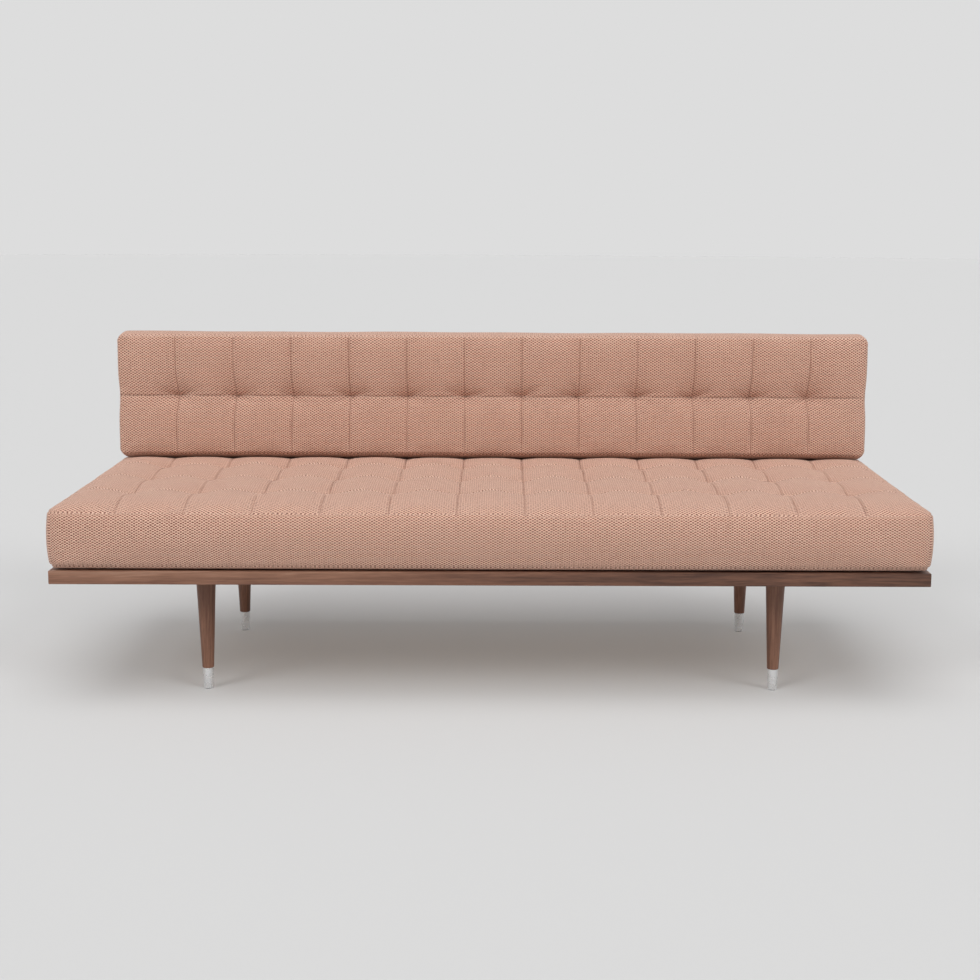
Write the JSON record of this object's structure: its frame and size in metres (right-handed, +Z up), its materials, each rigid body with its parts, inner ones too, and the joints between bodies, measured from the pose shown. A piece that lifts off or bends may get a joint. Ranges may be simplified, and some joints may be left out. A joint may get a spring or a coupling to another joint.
{
  "type": "daybed",
  "caption": "Armless daybed: slatted wooden platform on tapered legs with metal ferrules, loose biscuit-tufted seat cushion and low leaning tufted back cushion.",
  "frame": {"origin": "centre of the bounding box on the floor plane, under the middle of the platform", "axes": "+Z up; +X along the daybed, to the right of someone facing it; -Y towards the front, where one sits down"},
  "size_m": [1.95, 0.8378, 0.7766],
  "materials": {
    "walnut": "satin",
    "beech": "matte",
    "birch": "matte",
    "dowel_beech": "matte",
    "plywood": "matte",
    "ferrule_aluminium": "satin",
    "glide_nylon": "matte",
    "zinc_plated_steel": "satin",
    "bracket_steel": "satin",
    "woven_fabric": "matte",
    "foam": "matte",
    "tufting_twine": "matte"
  },
  "bodies": {
    "platform": {"rail_front": "walnut", "rail_rear": "walnut", "rail_left": "walnut", "rail_right": "walnut", "cross_beam_left": "beech", "cross_beam_right": "beech", "spine_left": "beech", "spine_centre": "beech", "spine_right": "beech", "slat_01": "birch", "slat_02": "birch", "slat_03": "birch", "slat_04": "birch", "slat_05": "birch", "slat_06": "birch", "slat_07": "birch", "slat_08": "birch", "slat_09": "birch", "slat_10": "birch", "slat_11": "birch", "slat_12": "birch", "slat_13": "birch", "slat_14": "birch", "slat_15": "birch", "leg_front_left": "walnut", "leg_front_right": "walnut", "leg_rear_left": "walnut", "leg_rear_right": "walnut", "ferrule_front_left": "ferrule_aluminium", "ferrule_front_right": "ferrule_aluminium", "ferrule_rear_left": "ferrule_aluminium", "ferrule_rear_right": "ferrule_aluminium", "glide_front_left": "glide_nylon", "glide_front_right": "glide_nylon", "glide_rear_left": "glide_nylon", "glide_rear_right": "glide_nylon", "leg_plate_front_left": "zinc_plated_steel", "leg_plate_front_right": "zinc_plated_steel", "leg_plate_rear_left": "zinc_plated_steel", "leg_plate_rear_right": "zinc_plated_steel", "back_bracket_left": "bracket_steel", "back_bracket_right": "bracket_steel", "corner_dowels": "dowel_beech", "beam_dowels": "dowel_beech", "slat_screws": "zinc_plated_steel", "leg_plate_screws": "zinc_plated_steel", "bracket_screws": "zinc_plated_steel", "hanger_bolts": "zinc_plated_steel"},
    "seat_cushion": {"seat_cover": "woven_fabric", "seat_foam": "foam", "seat_tuft_ties": "tufting_twine"},
    "back_cushion": {"back_cover": "woven_fabric", "back_foam": "foam", "back_panel": "plywood", "back_tuft_ties": "tufting_twine", "bracket_sleeve_left": "bracket_steel", "bracket_sleeve_right": "bracket_steel", "sleeve_screws": "zinc_plated_steel"}
  },
  "joints": [
    {"name": "seat_cushion_slide", "type": "slide", "parent": "platform", "child": "seat_cushion", "axis": [0, -1, 0], "range_m": [0, 0.39]},
    {"name": "back_cushion_lift", "type": "slide", "parent": "platform", "child": "back_cushion", "axis": [0, 0.0872, 0.9962], "range_m": [0, 0.16]}
  ]
}
